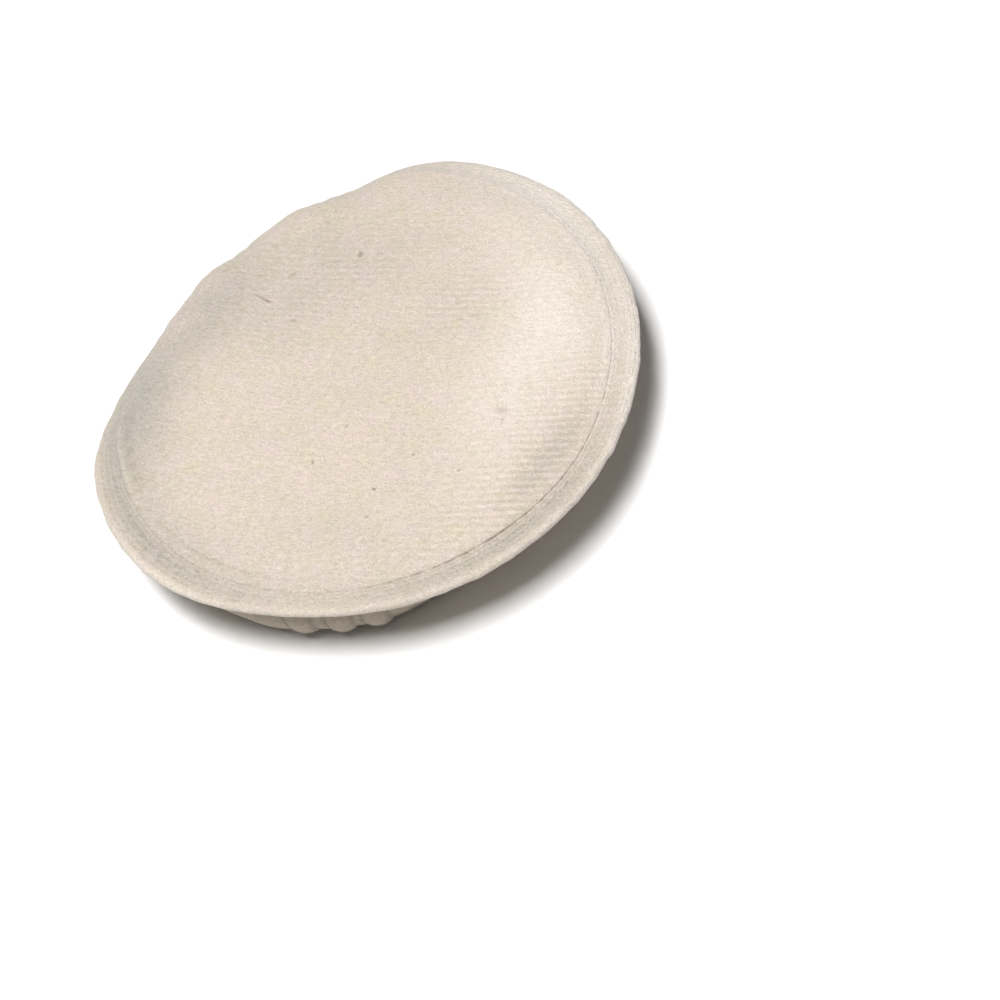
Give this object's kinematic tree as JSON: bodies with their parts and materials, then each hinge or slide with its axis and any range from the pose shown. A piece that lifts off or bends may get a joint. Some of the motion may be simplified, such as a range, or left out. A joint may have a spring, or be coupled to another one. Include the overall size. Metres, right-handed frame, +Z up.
{
  "type": "pakol",
  "caption": "Soft round wool hat: a flat crown with a stitched edge that overhangs a thick rolled band with sewn tucks, open to the head below.",
  "frame": {"origin": "middle of the hat's outline, on the surface that it rests on", "axes": "+Z up through the crown; -Y faces the side that the picture shows; the margin droops most towards +Y"},
  "size_m": [0.295, 0.2878, 0.0519],
  "materials": {
    "wool_crown": "undyed cream wool twill, lightly fulled",
    "wool_edge": "cream wool twill, doubled and machine stitched",
    "wool_roll": "cream wool twill, wound and fuzzy",
    "cotton_lining": "plain white cotton"
  },
  "bodies": {
    "root": {"crown_top": "wool_crown", "edge_welt": "wool_edge", "crown_underside": "wool_crown", "rolled_band": "wool_roll", "lining": "cotton_lining"}
  },
  "joints": []
}
